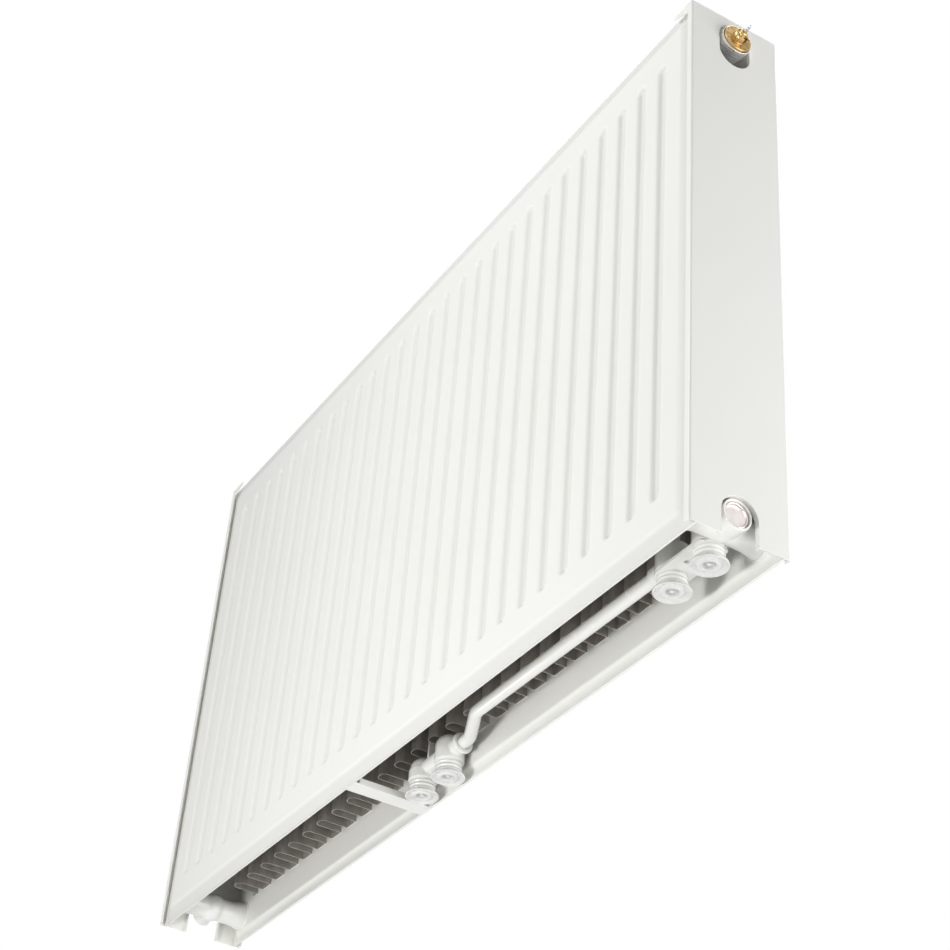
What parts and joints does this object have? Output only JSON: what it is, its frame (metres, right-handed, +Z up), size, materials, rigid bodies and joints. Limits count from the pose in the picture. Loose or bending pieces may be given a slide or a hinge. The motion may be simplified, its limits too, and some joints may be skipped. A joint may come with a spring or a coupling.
{
  "type": "panel radiator with built-in valve",
  "caption": "Steel panel radiator with two grooved panels, inner convectors, side covers, top grille, built-in thermostat valve and capped bottom pipe connections.",
  "frame": {"origin": "in the plane of the hanging lugs' backs, at mid length, level with the panels' bottom edges", "axes": "+X along the length towards the valve end, +Y towards the wall, +Z up"},
  "size_m": [1.025, 0.108, 0.604],
  "materials": {
    "white_paint": "satin",
    "bare_steel": "satin",
    "nickel": "polished",
    "brass": "satin",
    "steel": "satin",
    "rubber": "matte",
    "seal": "matte",
    "cap_plastic": "satin"
  },
  "bodies": {
    "radiator": {"bottom_strap": "white_paint", "collar_seal": "seal", "feed_pipe": "white_paint", "front_convector": "bare_steel", "front_inner_sheet": "white_paint", "front_outer_sheet": "white_paint", "hanging_lugs": "white_paint", "insert_body": "brass", "lower_left_plug": "nickel", "lower_left_plug_seal": "seal", "lower_left_tee": "white_paint", "lower_right_plug": "nickel", "lower_right_plug_seal": "seal", "lower_right_tee": "white_paint", "middle_ear": "white_paint", "middle_feed_body": "white_paint", "middle_neck": "white_paint", "middle_return_elbow": "white_paint", "middle_return_nipple": "white_paint", "middle_supply_nipple": "white_paint", "pipe_collar": "white_paint", "rear_convector": "bare_steel", "rear_inner_sheet": "white_paint", "rear_outer_sheet": "white_paint", "right_return_body": "white_paint", "right_return_nipple": "white_paint", "right_supply_body": "white_paint", "right_supply_nipple": "white_paint", "riser_pipe": "white_paint", "spring_seat": "steel", "stem_o_ring": "rubber", "tie_plate": "white_paint", "upper_left_tee": "white_paint", "valve_collar": "nickel", "valve_gland": "brass", "valve_tee": "white_paint", "vent_plug": "nickel", "vent_plug_seal": "seal"},
    "left_cover": {"left_side_cover": "white_paint"},
    "right_cover": {"right_side_cover": "white_paint"},
    "grille": {"top_grille": "white_paint"},
    "valve_plunger": {"valve_pin": "steel", "valve_stem": "steel", "sealing_cone": "rubber", "return_spring": "steel"},
    "preset": {"preset_ring": "brass"},
    "bleed": {"bleed_screw": "brass"},
    "right_supply_cap": {"right_supply_cap": "cap_plastic"},
    "right_return_cap": {"right_return_cap": "cap_plastic"},
    "middle_supply_cap": {"middle_supply_cap": "cap_plastic"},
    "middle_return_cap": {"middle_return_cap": "cap_plastic"}
  },
  "joints": [
    {"name": "left_cover_lift", "type": "slide", "parent": "radiator", "child": "left_cover", "axis": [0, 0, 1], "range_m": [0, 0.014]},
    {"name": "right_cover_lift", "type": "slide", "parent": "radiator", "child": "right_cover", "axis": [0, 0, 1], "range_m": [0, 0.014]},
    {"name": "grille_lift", "type": "slide", "parent": "radiator", "child": "grille", "axis": [0, 0, 1], "range_m": [0, 0.04]},
    {"name": "valve_press", "type": "slide", "parent": "radiator", "child": "valve_plunger", "axis": [-1, 0, 0], "range_m": [0, 0.0025], "stiffness_N_per_m": 4000, "springref_m": -0.004, "deforming": ["return_spring"]},
    {"name": "preset_turn", "type": "hinge", "parent": "radiator", "child": "preset", "pos_m": [0.5, -0.058, 0.573], "axis": [1, 0, 0], "range_deg": [0, 300]},
    {"name": "bleed_turn", "type": "hinge", "parent": "radiator", "child": "bleed", "pos_m": [-0.49, -0.058, 0.573], "axis": [-1, 0, 0], "range_deg": [0, 360]},
    {"name": "right_supply_cap_pull", "type": "slide", "parent": "radiator", "child": "right_supply_cap", "axis": [0, 0, -1], "range_m": [0, 0.045]},
    {"name": "right_return_cap_pull", "type": "slide", "parent": "radiator", "child": "right_return_cap", "axis": [0, 0, -1], "range_m": [0, 0.045]},
    {"name": "middle_supply_cap_pull", "type": "slide", "parent": "radiator", "child": "middle_supply_cap", "axis": [0, 0, -1], "range_m": [0, 0.045]},
    {"name": "middle_return_cap_pull", "type": "slide", "parent": "radiator", "child": "middle_return_cap", "axis": [0, 0, -1], "range_m": [0, 0.045]}
  ]
}
